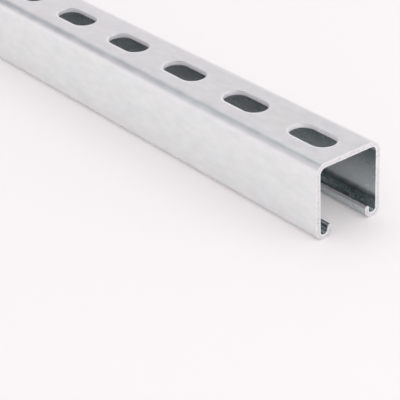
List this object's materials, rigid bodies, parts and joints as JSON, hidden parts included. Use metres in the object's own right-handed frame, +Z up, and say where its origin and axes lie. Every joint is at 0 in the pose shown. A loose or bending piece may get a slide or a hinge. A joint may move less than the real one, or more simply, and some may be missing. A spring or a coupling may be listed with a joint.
{
  "type": "half slotted strut channel",
  "caption": "Roll-formed steel C channel with turned-in lips and evenly spaced oblong slots along its web, for bolted framing and supports.",
  "frame": {"origin": "middle of the channel's length and width, at the level of the lips' undersides", "axes": "+X along the channel, +Y across it, +Z up from the open mouth to the slotted web"},
  "size_m": [0.6096, 0.0412, 0.0413],
  "materials": {
    "galvanised_steel": "satin, zinc coated"
  },
  "bodies": {
    "root": {"strut_channel": "galvanised_steel"}
  },
  "joints": []
}
